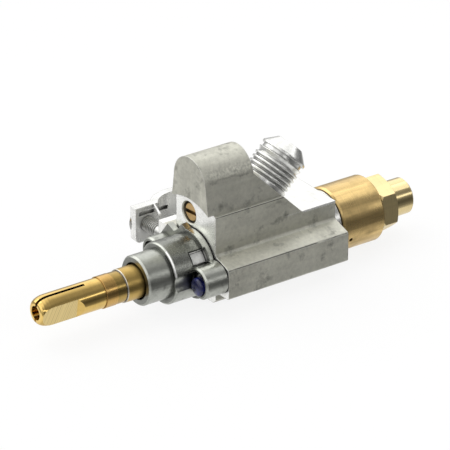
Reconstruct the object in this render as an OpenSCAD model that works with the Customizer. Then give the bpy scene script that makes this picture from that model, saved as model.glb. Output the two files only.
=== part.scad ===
// Gas valve with a push-and-turn shaft, a flame failure magnet unit at the rear,
// a flare outlet on a slanted face and a clamp for the supply pipe on the left.
// The shaft's axis is Y, with the knob end at -Y. The origin is on that axis,
// at the front face of the hub. +Z is up and +X is the outer side. Millimetres.

/* [Shaft] */
// Diameter of the shaft
shaft_d = 8; // [7:0.25:8]
// How far the shaft stands out of the hub
shaft_out = 29.5; // [27:0.5:40]
// Length of the rounded nose
nose_len = 3.5; // [2:0.25:5]
// Diameter of the flat end of the nose
nose_d = 4.8; // [4.4:0.1:6]
// Diameter of the hole in the shaft's end
tip_bore_d = 3.7; // [2:0.1:3.9]
// Depth of the hole in the shaft's end
tip_bore_depth = 7; // [3:0.5:12]
// Depth of the flat below the round
flat_depth = 1; // [0.5:0.1:1.5]
// Length of the flat, from the tip
flat_len = 10.2; // [8:0.2:12]
// Angle of the flat's outward side above +X, in degrees
flat_angle = -10; // [-30:5:30]
// Width of the slit in the shaft's end
slit_w = 0.8; // [0.5:0.1:1.2]
// Length of the slit, from the tip
slit_len = 14; // [12:0.5:17]
// Angle of the slit's plane above +X, in degrees
slit_angle = 82; // [60:2:100]
// Where the thicker middle section starts, from the hub's face
middle_out = 11; // [9:0.5:13]
// Diameter of the thicker middle section
middle_d = 8.4; // [8.2:0.1:8.6]
// Where the guided collar starts, from the hub's face
collar_out = 4.8; // [4:0.2:7]
// Diameter of the guided collar
collar_d = 8.8; // [8.7:0.1:9]
// How far the shaft can be pushed in
push_travel = 3; // [2:0.25:3.25]

/* [Bonnet] */
// Diameter of the hub
hub_d = 13.2; // [12.8:0.2:15]
// Length of the hub
hub_len = 7.1; // [6.8:0.1:10]
// Diameter of the drum behind the hub
drum_d = 16.4; // [16.2:0.1:17.4]
// Length of the drum
drum_len = 9.4; // [9.2:0.2:14]
// Diameter of the round flange
flange_d = 18.4; // [17.6:0.2:19]
// Thickness of the flange
flange_t = 1.7; // [1.4:0.2:3]
// Width of the mouth round the shaft
mouth_d = 9.8; // [9.6:0.1:11]
// Depth of the mouth
mouth_depth = 2; // [1:0.2:2.4]
// Height of the screw lugs
lug_h = 6.35; // [5.6:0.1:8]
// Diameter of the screw lugs
lug_d = 8.4; // [8:0.2:9.4]
// Distance between the two bonnet screws
bonnet_screw_pitch = 20.8; // [20.6:0.1:22]
// Diameter of the bonnet screws' thread
bonnet_screw_d = 4; // [3:0.5:4]
// Length of the bonnet screws below the head
bonnet_screw_len = 10.6; // [8:0.2:12]
// Diameter of the bonnet screws' heads
bonnet_head_d = 6.4; // [5.6:0.1:6.6]
// Height of the bonnet screws' heads
bonnet_head_h = 2.3; // [1.6:0.1:2.6]
// Length of the window in the drum's wall
window_len = 4.4; // [3:0.2:4.6]
// Lower edge of the window above +X, in degrees
window_from = 27; // [24:1:36]
// Upper edge of the window above +X, in degrees
window_to = 50; // [44:1:60]
// Thickness of the gasket under the bonnet
gasket_t = 0.3; // [0.2:0.1:0.6]

/* [Body] */
// Length of the body behind its machined front face
body_len = 37.4; // [37:0.2:44]
// Width of the body's upper block
block_w = 17.2; // [17:0.2:19]
// Depth of the block below the shaft's axis
block_down = 8.5; // [8.4:0.1:11]
// Height of the casting's ledge above the axis
ledge_up = 15.8; // [15.6:0.1:16.4]
// Height of the rear shoulder above the axis
rear_up = 10; // [9:0.2:12]
// Half width of the body across the rails
rail_out = 14.35; // [14.2:0.05:16]
// Top of the rails above the axis, at their outer edge
rail_up = 3.35; // [2.6:0.05:3.6]
// Underside of the rails below the axis
rail_down = 5; // [4:0.1:6]
// Rise of the rails' sloping top towards the block
rail_rise = 1.6; // [0.8:0.1:2]
// Width of the arch at its foot
arch_w = 16; // [15:0.2:16.4]
// Radius of the arch's round top
arch_r = 7; // [6:0.2:7.4]
// Height of the arch above the axis
arch_up = 29.5; // [28:0.5:34]
// Depth of the arch from front to rear
arch_depth = 14.7; // [10:0.1:16]
// How far the arch's rough front stands forward of the machined face
arch_fwd = 1.8; // [1:0.1:2.4]
// Radius of the machined front face about the shaft's axis
facing_r = 18; // [17.6:0.1:18.4]

/* [Flare outlet] */
// Where the outlet's axis crosses the shaft's axis, behind the machined face
outlet_back = 4.5; // [4:0.25:5.5]
// Distance along the outlet's axis from that crossing to the slanted face
outlet_foot = 22.8; // [22:0.2:25]
// Length of the outlet from the slanted face to its nose
outlet_len = 12.3; // [11.4:0.1:16]
// Outer diameter of the outlet's thread
outlet_d = 12.7; // [11.2:0.1:13.2]
// Pitch of the outlet's thread
outlet_pitch = 1.27; // [1:0.01:1.5]
// Diameter of the relief behind the nose
relief_d = 11.4; // [10.4:0.1:11.6]
// Width of the relief behind the nose
relief_w = 1; // [0.6:0.1:1.2]
// Length of the 45 degree nose
nose_cone = 2.7; // [2:0.1:2.9]
// Diameter of the gas way through the outlet
outlet_bore_d = 5.6; // [4:0.1:5.8]

/* [Rotor] */
// Large diameter of the tapered plug
plug_front_d = 14; // [13.6:0.1:14.2]
// Small diameter of the tapered plug
plug_rear_d = 10.6; // [10:0.1:11.4]
// Length of the tapered plug
plug_len = 23; // [20:0.25:23.5]
// Diameter of the gas chamber in the plug
plug_bore_d = 7.2; // [6:0.1:7.6]
// Diameter of the plug's side port
port_d = 4.4; // [3:0.1:4.6]
// Outer diameter of the stop sleeve
sleeve_d = 13.2; // [12.6:0.1:13.2]
// Wall of the stop sleeve
sleeve_wall = 1.2; // [0.8:0.1:1.4]
// Thickness of the stop sleeve's front web
web_t = 1.4; // [1:0.1:1.4]
// Diameter of the drive pin
pin_d = 2; // [1.6:0.1:2]
// Diameter of the push rod
rod_d = 3; // [2:0.1:3.2]
// Thickness of the ring that seals the push rod
rod_seal_w = 1.1; // [0.8:0.1:1.2]
// Room between the plug and the valve seat
seat_room = 4.3; // [3.8:0.1:5]

/* [Minimum flow screw] */
// Place of the screw across the body
bypass_x = -3; // [-3.6:0.1:-2.8]
// Height of the screw above the shaft's axis
bypass_up = 12.6; // [12.2:0.1:12.8]
// Diameter of the bore over the screw's head
bypass_bore_d = 5.8; // [5:0.1:6]
// Diameter of the screw's head
bypass_head_d = 5.2; // [4.2:0.1:5.2]
// Depth of the screw's head below the machined face
bypass_sunk = 0.6; // [0.6:0.1:2]
// Length of the screw's head
bypass_head_len = 5.2; // [5:0.1:7]
// Length of the screw's shank behind the head
bypass_shank_len = 8.8; // [8.4:0.1:9.6]
// Diameter of the screw's threaded shank
bypass_shank_d = 3; // [2.4:0.1:3.2]
// Width of the slot in the screw's head
bypass_slot_w = 1; // [0.6:0.1:1.2]
// Turn of the slot above +X, in degrees
bypass_slot_angle = 6; // [-90:1:90]
// Pitch of the screw's thread
bypass_pitch = 0.5; // [0.35:0.05:0.7]

/* [Magnet unit] */
// Diameter of the rear cap
cap_d = 17.8; // [16.6:0.2:19]
// Length of the rear cap
cap_len = 13.3; // [13:0.1:16]
// Diameter of the body's collar in front of the cap
collar_rim_d = 16.6; // [16:0.1:17]
// Length of the body's collar
collar_rim_len = 2.7; // [2:0.1:4]
// Width of the hexagon across its flats
hex_af = 13.6; // [13:0.2:16]
// Length of the hexagon
hex_len = 5.8; // [4:0.1:7]
// Turn of the hexagon, in degrees
hex_angle = 39.5; // [0:0.5:60]
// Diameter of the threaded end
spigot_d = 9.8; // [9.4:0.1:11]
// Length of the threaded end
spigot_len = 6.8; // [6:0.1:12]
// Bore of the thermocouple's thread
socket_d = 7; // [6:0.1:7.4]
// Depth of the thermocouple's thread
socket_depth = 8; // [6:0.2:9]
// Diameter of the chamber behind the plug
chamber_d = 13.8; // [13.2:0.1:13.9]
// Diameter of the hole in the valve seat
seat_hole_d = 6.4; // [5:0.1:6.8]
// Diameter of the rubber valve disc
disc_d = 10.4; // [9.6:0.1:11]
// Thickness of the rubber valve disc
disc_t = 1.75; // [1.4:0.05:2]
// Diameter of the magnet unit's housing
housing_d = 11.4; // [11:0.1:11.5]
// Wall of the magnet unit's housing
housing_wall = 0.7; // [0.5:0.05:0.8]
// Diameter of the armature
armature_d = 8.4; // [7:0.1:9]
// Diameter of the armature's stem
stem_d = 2; // [1.6:0.1:2.4]
// Diameter of the magnet's poles
pole_d = 3; // [2.4:0.1:3.2]
// Length of the valve's spring when it is fully pressed
spring_block = 3.2; // [2.6:0.1:3.4]
// Distance from the magnet unit's back to the hexagon
cap_end_t = 2.6; // [2:0.1:3]

/* [Supply pipe clamp] */
// Diameter of the supply pipe
pipe_d = 14; // [12:0.5:14.5]
// Distance of the pipe's axis from the shaft's axis, across
pipe_out = 21.3; // [21:0.1:22.5]
// Distance of the pipe's axis behind the machined face
pipe_back = 11.5; // [11.4:0.1:12]
// Width of the clamp along the pipe
clamp_w = 10; // [8:0.2:11]
// Thickness of the clamp
clamp_t = 2.1; // [1.6:0.1:2.6]
// Thickness of the clamp's ears
ear_t = 2.4; // [2.2:0.1:2.8]
// Distance of the clamp's ears from the pipe's axis
ear_out = 3.7; // [3:0.1:4.4]
// Reach of the clamp from the pipe's axis to its ends
clamp_reach = 13; // [12.6:0.1:13.4]
// Distance between the two clamp screws
clamp_screw_pitch = 18.8; // [18.4:0.1:19.4]
// Diameter of the clamp screws
clamp_screw_d = 4; // [3.4:0.1:4]
// Distance from the pipe's axis to the body's saddle face
saddle_gap = 2.1; // [1.5:0.1:3]
// Diameter of the inlet port
inlet_d = 5.2; // [4:0.1:5.2]

/* [Clearances] */
// Gap all round a piece that turns or slides in another
run_gap = 0.05; // [0.03:0.01:0.08]
// Gap all round a piece that is fitted in a hole
fit_gap = 0.05; // [0.02:0.01:0.1]
// Gap between faces that must not rub
free_gap = 0.3; // [0.2:0.05:0.4]

/* [Hidden] */
eps = 0.01;
round_fn = 96;

brass = [0.76, 0.62, 0.34];
cast_alloy = [0.66, 0.65, 0.62];
dark_alloy = [0.33, 0.34, 0.34];
steel = [0.72, 0.73, 0.74];
bright = [0.88, 0.88, 0.86];
rubber = [0.12, 0.12, 0.12];

// Places along the shaft's axis
y_flange = hub_len + drum_len;
y_gasket = y_flange + flange_t;
y_seat = y_gasket + gasket_t;
y_body = y_seat + body_len;
y_rim = y_body + collar_rim_len;
seal_t = 0.3;
y_cap = y_rim + seal_t;
y_hex = y_cap + cap_len;
y_spigot = y_hex + hex_len;
y_end = y_spigot + spigot_len;

// Inside of the bonnet
collar_r = collar_d / 2;
stop_y = mouth_depth + 3;
shoulder_y = stop_y + 0.1;
shoulder_t = 1.1;
shoulder_r = collar_r + 0.9;
spring_room_r = shoulder_r + free_gap;
sleeve_front = 5.8;
sleeve_y = y_gasket - sleeve_front;
washer_t = 0.3;
sleeve_room_r = sleeve_d / 2 + free_gap;

// Rotor
plug_y = y_seat + 0.7;
plug_r1 = plug_front_d / 2;
plug_r2 = plug_rear_d / 2;
plug_taper = (plug_r1 - plug_r2) / plug_len;
y_outlet = y_seat + outlet_back;
port_y = (y_outlet + plug_r1 + plug_taper * plug_y) / (1 + plug_taper);
pin_y = sleeve_y + web_t + pin_d / 2 + 0.1;
shaft_end_y = plug_y + 0.4;
head_room = push_travel + 1;
rod_wall_y = shaft_end_y + head_room;
chamber_y = port_y - port_d / 2;

// Flame failure valve
seat_y = plug_y + plug_len + seat_room;
seat_rim = 1;
disc_y = seat_y + run_gap;
holder_y = disc_y + disc_t;
holder_t = 0.7;
holder_hub = 0.7;
spring_y = holder_y + holder_t;
housing_y = spring_y + push_travel + spring_block;
armature_t = 1.2;
armature_y = housing_y + housing_wall + free_gap;
pole_y = armature_y + armature_t + push_travel + free_gap;
back_y = y_hex - cap_end_t;
housing_r = housing_d / 2;
cap_bore_r = housing_r + 0.25;
chamber_r = chamber_d / 2;
yoke_t = 1.6;
insulator_r = 2.15;
contact_r = 1;

// Supply pipe and clamp
pipe_r = pipe_d / 2 + 0.1;
pipe_x = -pipe_out;
pipe_y = y_seat + pipe_back;
saddle_x = pipe_x + saddle_gap;
ear_x = pipe_x - ear_out;
inlet_x = pipe_x + pipe_r;
gallery_x = -9.2;
gallery_r = 1.5;
clamp_screw_end = -(bonnet_screw_pitch / 2 + lug_d / 2 + 0.2);

module slab(y0, y1) translate([0, y1, 0]) rotate([90, 0, 0]) linear_extrude(y1 - y0) children();
module turned(points) rotate([-90, 0, 0]) rotate_extrude($fn = round_fn) polygon(points);
module rod(r, y0, y1) translate([0, y0, 0]) rotate([-90, 0, 0])
    cylinder(r = r, h = y1 - y0, $fn = round_fn);
module tube(r1, r2, y0, y1) turned([[r1, y0], [r2, y0], [r2, y1], [r1, y1]]);
module hole_x(r, x0, x1) translate([x0, 0, 0]) rotate([0, 90, 0])
    cylinder(r = r, h = x1 - x0, $fn = 48);

// A round coil about Y as one wire, with its ends cut by the seats
module coil(r, wire_r, y0, y1, turns) {
    steps = 16;
    sides = 6;
    n = round(turns * steps);
    rise = y1 - y0 - 2 * wire_r;
    ring = [for (i = [0 : n]) for (j = [0 : sides - 1])
        let (a = 360 * i / steps, b = 360 * j / sides, q = r + wire_r * cos(b))
        [q * cos(a), y0 + wire_r + rise * i / n + wire_r * sin(b), q * sin(a)]];
    wall = [for (i = [0 : n - 1]) for (j = [0 : sides - 1])
        let (k = i * sides + j, m = i * sides + (j + 1) % sides)
        each [[k, k + sides, m + sides], [k, m + sides, m]]];
    start = [for (j = [1 : sides - 2]) [0, j, j + 1]];
    end = [for (j = [1 : sides - 2]) [n * sides, n * sides + j + 1, n * sides + j]];
    polyhedron(points = ring, faces = concat(wall, start, end), convexity = 10);
}

// Outline of a threaded length as [radius, height], with flat crests
function thread_outline(r, depth, pitch, h0, h1) = let (
    n = floor((h1 - h0) / pitch))
    [for (i = [0 : n - 1]) let (h = h0 + i * pitch)
        each [[r, h], [r, h + 0.3 * pitch], [r - depth, h + 0.6 * pitch],
            [r - depth, h + 0.7 * pitch]]];

// Section of the casting across the shaft's axis, as [x, z]
module block_section() {
    half = block_w / 2;
    bevel = 1;
    polygon([[-half, ledge_up], [-half, -block_down + bevel], [-half + bevel, -block_down],
        [half - bevel, -block_down], [half, -block_down + bevel], [half, ledge_up]]);
    for (side = [-1, 1]) scale([side, 1]) rail_section(half);
}

module rail_section(half) {
    fillet = 1.2;
    edge = 0.4;
    polygon([[0, -rail_down], [rail_out - edge, -rail_down], [rail_out, -rail_down + edge],
        [rail_out, rail_up - edge], [rail_out - edge, rail_up],
        [half, rail_up + rail_rise], [0, rail_up + rail_rise]]);
    translate([half - eps, rail_up + rail_rise - fillet * 0.3]) difference() {
        square(fillet);
        translate([fillet, fillet]) circle(r = fillet, $fn = 48);
    }
}

module arch_section() {
    centre = arch_up - arch_r;
    polygon([[-block_w / 2 + 1, 0], [block_w / 2 - 1, 0], [arch_w / 2, ledge_up],
        [arch_r, centre], [-arch_r, centre], [-arch_w / 2, ledge_up]]);
    translate([0, centre]) circle(r = arch_r, $fn = round_fn);
}

// Side outline of the casting, as [y, z]
module side_outline() {
    arch_rear = y_seat - arch_fwd + arch_depth;
    slope = y_outlet + outlet_foot * sqrt(2);
    top = arch_up + 1;
    low = -block_down - 1;
    rotate([90, 0, 90]) translate([0, 0, -rail_out - 1]) linear_extrude(2 * rail_out + 2)
        polygon([[y_seat - arch_fwd, low], [y_body, low], [y_body, rear_up],
            [slope - rear_up, rear_up], [arch_rear, slope - arch_rear],
            [arch_rear, top], [y_seat - arch_fwd, top]]);
}

module pipe_block() {
    rear = pipe_y + clamp_reach;
    step = 2.5;
    foot = pipe_y - sqrt(pow(pipe_r, 2) - pow(saddle_gap + step, 2));
    translate([0, 0, -clamp_w / 2]) linear_extrude(clamp_w)
        polygon([[saddle_x + step, y_seat], [0, y_seat], [0, rear], [saddle_x, rear],
            [saddle_x, pipe_y], [saddle_x + step, foot]]);
}

module outlet_frame() translate([0, y_outlet, 0]) rotate([-45, 0, 0]) children();

module outlet_boss() {
    r = outlet_d / 2;
    top = outlet_foot + outlet_len;
    cone = top - nose_cone;
    crest = 0.6;
    relief = cone - crest - relief_w;
    outlet_frame() rotate_extrude($fn = round_fn) polygon(concat(
        [[0, outlet_foot - 4], [r, outlet_foot - 4], [r, outlet_foot + 0.7]],
        thread_outline(r, 0.62, outlet_pitch, outlet_foot + 0.7, relief),
        [[r, relief - 0.3], [relief_d / 2, relief], [relief_d / 2, relief + relief_w],
            [r, cone - crest], [r, cone], [r - nose_cone, top], [0, top]]));
}

module body() {
    color(cast_alloy) difference() {
        union() {
            intersection() {
                union() {
                    slab(y_seat, y_body) block_section();
                    slab(y_seat - arch_fwd, y_body) arch_section();
                }
                side_outline();
            }
            pipe_block();
            outlet_boss();
            rod(collar_rim_d / 2, y_body - 1, y_rim);
        }
        // Saddle for the supply pipe
        translate([pipe_x, pipe_y, -clamp_w]) cylinder(r = pipe_r, h = 2 * clamp_w,
            $fn = round_fn);
        // Machined front face
        rod(facing_r, y_seat - arch_fwd - 1, y_seat);
        // Way for the plug, tapered, with its room in front and the valve seat behind
        turned([[0, y_seat - 1], [plug_r1 + free_gap, y_seat - 1],
            [plug_r1 + free_gap, plug_y], [plug_r1 + run_gap, plug_y],
            [plug_r2 + run_gap - plug_taper * 1.5, plug_y + plug_len + 1.5],
            [seat_hole_d / 2, plug_y + plug_len + 1.5], [seat_hole_d / 2, seat_y + eps],
            [0, seat_y + eps]]);
        // Chamber of the magnet unit, with the raised valve seat
        turned([[seat_hole_d / 2 + seat_rim, seat_y - 0.8], [chamber_r, seat_y - 0.8],
            [chamber_r, y_rim + 1], [0, y_rim + 1], [0, seat_y],
            [seat_hole_d / 2 + seat_rim, seat_y]]);
        // Gas ways
        outlet_frame() cylinder(r = outlet_bore_d / 2, h = outlet_foot + outlet_len + 1,
            $fn = 64);
        translate([0, pipe_y, 0]) hole_x(inlet_d / 2, inlet_x - 2, gallery_x);
        translate([0, pipe_y, 0]) hole_x(inlet_d / 2 + 1.4, inlet_x - 4, inlet_x + 1.6);
        translate([gallery_x, 0, 0]) rod(gallery_r, pipe_y, seat_y + 2.5);
        translate([0, seat_y + 1, 0]) hole_x(gallery_r, gallery_x, -chamber_r + 1);
        bypass_ways();
        // Screw holes
        for (side = [-1, 1]) translate([side * bonnet_screw_pitch / 2, 0, 0])
            rod(bonnet_screw_d / 2 + fit_gap, y_seat - 1, bonnet_tip_y() + 0.5);
        for (side = [-1, 1]) translate([0, pipe_y + side * clamp_screw_pitch / 2, 0])
            hole_x(clamp_screw_d / 2 + fit_gap, saddle_x - 1, clamp_screw_end + 0.3);
    }
}

function bonnet_head_y() = y_gasket - lug_h + 1.1;
function bonnet_tip_y() = bonnet_head_y() + bonnet_head_h + bonnet_screw_len;

module bypass_ways() {
    head_end = y_seat + bypass_sunk + bypass_head_len + 0.9;
    tip_end = bypass_tip_y() + 0.9;
    translate([bypass_x, 0, bypass_up]) {
        turned([[0, y_seat - 1], [bypass_bore_d / 2 + 1.3, y_seat - 1],
            [bypass_bore_d / 2, y_seat + 0.3], [bypass_bore_d / 2, head_end],
            [bypass_shank_d / 2 + run_gap, head_end], [bypass_shank_d / 2 + run_gap, tip_end],
            [0, tip_end]]);
        translate([0, bypass_tip_y(), 0]) hole_x(0.7, 0, -bypass_x);
        translate([0, bypass_tip_y() - 1.5, -bypass_up]) cylinder(r = 0.6, h = bypass_up, $fn = 32);
    }
}

module bonnet_outline() {
    lug_x = bonnet_screw_pitch / 2;
    circle(r = flange_d / 2, $fn = round_fn);
    for (side = [-1, 1]) {
        translate([side * lug_x, 0]) circle(r = lug_d / 2, $fn = 64);
        polygon([[0, lug_d / 2], [side * lug_x, lug_d / 2], [side * lug_x, -lug_d / 2],
            [0, -lug_d / 2]]);
    }
    // Two locating teeth at the upper left
    polygon([[0, 0], [-lug_x - 3.9, 1.5], [-lug_x + 0.7, 7.4], [-7, 6.4], [-5.3, 7.4],
        [-3.5, flange_d / 2 + 0.6], [-1.5, flange_d / 2 - 0.2]]);
}

module bonnet() {
    edge = 0.45;
    color(dark_alloy) difference() {
        union() {
            turned([[0, 0], [hub_d / 2 - edge, 0], [hub_d / 2, edge], [hub_d / 2, hub_len],
                [drum_d / 2 - edge, hub_len], [drum_d / 2, hub_len + edge],
                [drum_d / 2, y_gasket], [0, y_gasket]]);
            slab(y_flange, y_gasket) bonnet_outline();
            for (side = [-1, 1]) translate([side * bonnet_screw_pitch / 2, 0, 0])
                turned([[0, y_gasket - lug_h], [lug_d / 2 - edge, y_gasket - lug_h],
                    [lug_d / 2, y_gasket - lug_h + edge], [lug_d / 2, y_gasket], [0, y_gasket]]);
        }
        turned([[0, -1], [mouth_d / 2, -1], [mouth_d / 2, mouth_depth],
            [collar_r + run_gap, mouth_depth], [collar_r + run_gap, stop_y],
            [spring_room_r, stop_y], [spring_room_r, sleeve_y - free_gap],
            [sleeve_room_r, sleeve_y - free_gap], [sleeve_room_r, y_gasket + 1],
            [0, y_gasket + 1]]);
        for (side = [-1, 1]) translate([side * bonnet_screw_pitch / 2, 0, 0]) {
            rod(bonnet_head_d / 2 + fit_gap, 0, bonnet_head_y() + bonnet_head_h);
            rod(bonnet_screw_d / 2 + fit_gap, 0, y_gasket + 1);
        }
        // Window in the drum's wall
        slab(sleeve_y + 0.3, sleeve_y + 0.3 + window_len) difference() {
            polygon([[0, 0], for (a = [window_from, window_to]) 12 * [cos(a), sin(a)]]);
            circle(r = sleeve_room_r - 0.2, $fn = round_fn);
        }
    }
}

module bonnet_gasket() {
    color(rubber) slab(y_gasket, y_seat) difference() {
        offset(delta = -0.4) union() {
            circle(r = flange_d / 2, $fn = round_fn);
            for (side = [-1, 1]) translate([side * bonnet_screw_pitch / 2, 0])
                circle(r = lug_d / 2, $fn = 64);
        }
        circle(r = plug_r1 + free_gap, $fn = round_fn);
        for (side = [-1, 1]) translate([side * bonnet_screw_pitch / 2, 0])
            circle(r = bonnet_screw_d / 2 + fit_gap, $fn = 48);
    }
}

module bonnet_screws() {
    y0 = bonnet_head_y();
    y1 = y0 + bonnet_head_h;
    r = bonnet_head_d / 2;
    color(steel) for (side = [-1, 1]) translate([side * bonnet_screw_pitch / 2, 0, 0])
        difference() {
            turned([[0, y0], [r - 1, y0], [r - 0.3, y0 + 0.35], [r, y0 + 1], [r, y1],
                [bonnet_screw_d / 2, y1], [bonnet_screw_d / 2, bonnet_tip_y() - 0.5],
                [bonnet_screw_d / 2 - 0.5, bonnet_tip_y()], [0, bonnet_tip_y()]]);
            for (a = [20, 110]) rotate([0, a, 0]) translate([-1.9, y0 - 1, -0.45])
                cube([3.8, 2.2, 0.9]);
        }
}

// Paint over the outer screw's head, bulging out of the lug's recess
module sealing_paint() {
    face = y_gasket - lug_h;
    r = bonnet_head_d / 2 - fit_gap;
    bulge = 1.1;
    low = 0.9;
    spread = r - 0.7;
    dome = [for (a = [0 : 15 : 75]) [spread * cos(a), face - bulge * sin(a)]];
    color([0.08, 0.12, 0.3]) translate([bonnet_screw_pitch / 2, 0, 0]) {
        intersection() {
            rod(r, face, bonnet_head_y());
            translate([0, 0, -low]) rod(spread, face, bonnet_head_y());
        }
        translate([0, 0, -low])
            turned(concat([[0, face]], dome, [[0, face - bulge]]));
    }
}

module shaft() {
    r = shaft_d / 2;
    tip = -shaft_out;
    arc = [for (a = [0 : 15 : 90]) [nose_d / 2 + (r - nose_d / 2) * sin(a),
        tip + nose_len * (1 - cos(a))]];
    groove = 0.4;
    step = 0.08;
    neck_len = 2.9;
    color(brass) difference() {
        turned(concat([[0, tip]], arc, [
            [r, -middle_out - groove], [r - step, -middle_out - groove],
            [r - step, -middle_out], [middle_d / 2 - step, -middle_out],
            [middle_d / 2, -middle_out + step], [middle_d / 2, -collar_out - neck_len],
            [middle_d / 2 - step, -collar_out - neck_len],
            [middle_d / 2 - step, -collar_out - groove],
            [middle_d / 2 - 3 * step, -collar_out - groove],
            [middle_d / 2 - 3 * step, -collar_out - step], [collar_r - 2 * step, -collar_out - step],
            [collar_r, -collar_out + step], [collar_r, shoulder_y], [shoulder_r, shoulder_y],
            [shoulder_r, shoulder_y + shoulder_t], [r, shoulder_y + shoulder_t],
            [r, shaft_end_y], [0, shaft_end_y]]));
        rod(tip_bore_d / 2, tip - 1, tip + tip_bore_depth);
        rotate([0, -slit_angle, 0]) translate([-r - 1, tip - 1, -slit_w / 2])
            cube([shaft_d + 2, slit_len + 1, slit_w]);
        // Flat, with the sloping end that the cutter leaves
        rotate([0, -flat_angle, 0]) translate([r - flat_depth, 0, -r - 1])
            linear_extrude(shaft_d + 2) polygon([[0, tip - 1], [flat_depth + 1, tip - 1],
                [flat_depth + 1, tip + flat_len + 2.2 * flat_depth],
                [flat_depth, tip + flat_len + 1.8 * flat_depth], [0, tip + flat_len]]);
        translate([0, pin_y, -r - 1]) cylinder(r = pin_d / 2, h = shaft_d + 2, $fn = 32);
    }
}

module drive_pin() {
    reach = sleeve_d / 2 - 0.3;
    color(steel) translate([0, pin_y, -reach]) cylinder(r = pin_d / 2, h = 2 * reach, $fn = 32);
}

module shaft_spring() {
    wire = 0.35;
    color(steel) coil(collar_r + 0.45, wire, shoulder_y + shoulder_t, sleeve_y - washer_t, 5);
}

module spring_washer() {
    color(steel) tube(shaft_d / 2 + 0.15, shoulder_r, sleeve_y - washer_t, sleeve_y);
}

module stop_sleeve() {
    r = sleeve_d / 2;
    beyond = 2;
    color(bright) difference() {
        turned([[shaft_d / 2 + run_gap, sleeve_y], [r, sleeve_y], [r, plug_y],
            [r - sleeve_wall, plug_y], [r - sleeve_wall, sleeve_y + web_t],
            [shaft_d / 2 + run_gap, sleeve_y + web_t]]);
        translate([-pin_d / 2 - run_gap, sleeve_y + web_t, -r - beyond / 2])
            cube([pin_d + 2 * run_gap, plug_y - sleeve_y, 2 * r + beyond]);
    }
}

module plug() {
    r = rod_d / 2;
    groove = rod_wall_y + 0.7;
    color(brass) difference() {
        turned([[0, plug_y], [plug_r1, plug_y], [plug_r2, plug_y + plug_len],
            [0, plug_y + plug_len]]);
        turned([[0, plug_y - 1], [shaft_d / 2 + 0.15, plug_y - 1],
            [shaft_d / 2 + 0.15, rod_wall_y], [r + run_gap, rod_wall_y],
            [r + run_gap, groove], [r + rod_seal_w, groove],
            [r + rod_seal_w, groove + rod_seal_w], [r + run_gap, groove + rod_seal_w],
            [r + run_gap, chamber_y], [plug_bore_d / 2, chamber_y],
            [plug_bore_d / 2, plug_y + plug_len + 1], [0, plug_y + plug_len + 1]]);
        translate([0, port_y, 0]) hole_x(port_d / 2, 0, plug_r1 + 1);
    }
}

module push_rod() {
    color(brass) rod(rod_d / 2, shaft_end_y, disc_y - free_gap);
}

module push_rod_seal() {
    r = rod_d / 2 + run_gap;
    groove = rod_wall_y + 0.7;
    color(rubber) tube(r, rod_d / 2 + rod_seal_w, groove, groove + rod_seal_w);
}

function bypass_tip_y() = y_seat + bypass_sunk + bypass_head_len + bypass_shank_len;

module bypass_screw() {
    y0 = y_seat + bypass_sunk;
    y1 = y0 + bypass_head_len;
    r = bypass_head_d / 2;
    neck = r - 0.9;
    color(brass) translate([bypass_x, 0, bypass_up]) difference() {
        turned([[0, y0], [r - 0.3, y0], [r, y0 + 0.3], [r, y0 + 1.6], [neck, y0 + 1.6],
            [neck, y0 + 3.4], [r, y0 + 3.4], [r, y1], [bypass_shank_d / 2, y1],
            [bypass_shank_d / 2, bypass_tip_y() - 2.6], [0.5, bypass_tip_y()],
            [0, bypass_tip_y()]]);
        rotate([0, -bypass_slot_angle, 0]) translate([-r - 1, y0 - 1, -bypass_slot_w / 2])
            cube([2 * r + 2, 2, bypass_slot_w]);
    }
}

module bypass_seal() {
    y0 = y_seat + bypass_sunk + 1.6 + 0.2;
    color(rubber) translate([bypass_x, 0, bypass_up])
        tube(bypass_head_d / 2 - 0.9 + run_gap, bypass_bore_d / 2 - run_gap, y0, y0 + 1.4);
}

module valve_disc() color(rubber) rod(disc_d / 2, disc_y, holder_y);

module disc_holder() {
    color(steel) turned([[0, holder_y], [disc_d / 2 + 0.2, holder_y],
        [disc_d / 2 + 0.2, holder_y + holder_t], [stem_d / 2 + 0.8, holder_y + holder_t],
        [stem_d / 2 + 0.8, holder_y + holder_t + holder_hub],
        [0, holder_y + holder_t + holder_hub]]);
}

module armature() {
    y0 = holder_y + holder_t + holder_hub;
    color(steel) {
        rod(stem_d / 2, y0, armature_y + eps);
        rod(armature_d / 2, armature_y, armature_y + armature_t);
    }
}

module valve_spring() {
    spring_off = 1.4;
    spring_wire = 0.25;
    color(steel) coil(stem_d / 2 + spring_off, spring_wire, spring_y, housing_y, 4.5);
}

module magnet_housing() {
    r = housing_r;
    color(bright) turned([[stem_d / 2 + run_gap, housing_y], [r, housing_y], [r, back_y],
        [insulator_r + fit_gap, back_y], [insulator_r + fit_gap, back_y - housing_wall],
        [r - housing_wall, back_y - housing_wall], [r - housing_wall, housing_y + housing_wall],
        [stem_d / 2 + run_gap, housing_y + housing_wall]]);
}

function yoke_y() = back_y - housing_wall - yoke_t;
function pole_x() = pole_d / 2 + 0.95;
function contact_head_y() = y_end - socket_depth - 1;

module magnet_core() {
    color(steel) {
        tube(contact_r + 0.3, housing_r - housing_wall - fit_gap, yoke_y(), yoke_y() + yoke_t);
        for (side = [-1, 1]) translate([side * pole_x(), 0, 0])
            rod(pole_d / 2, pole_y, yoke_y() + eps);
    }
}

module magnet_coils() {
    color([0.66, 0.36, 0.2]) for (side = [-1, 1]) translate([side * pole_x(), 0, 0])
        tube(pole_d / 2 + fit_gap, pole_d / 2 + 0.75, pole_y + 0.4, yoke_y());
}

module contact_pin() {
    color(brass) {
        rod(contact_r, yoke_y() + yoke_t / 2, contact_head_y() + eps);
        rod(contact_r + 0.7, contact_head_y(), contact_head_y() + 0.9);
    }
}

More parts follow.
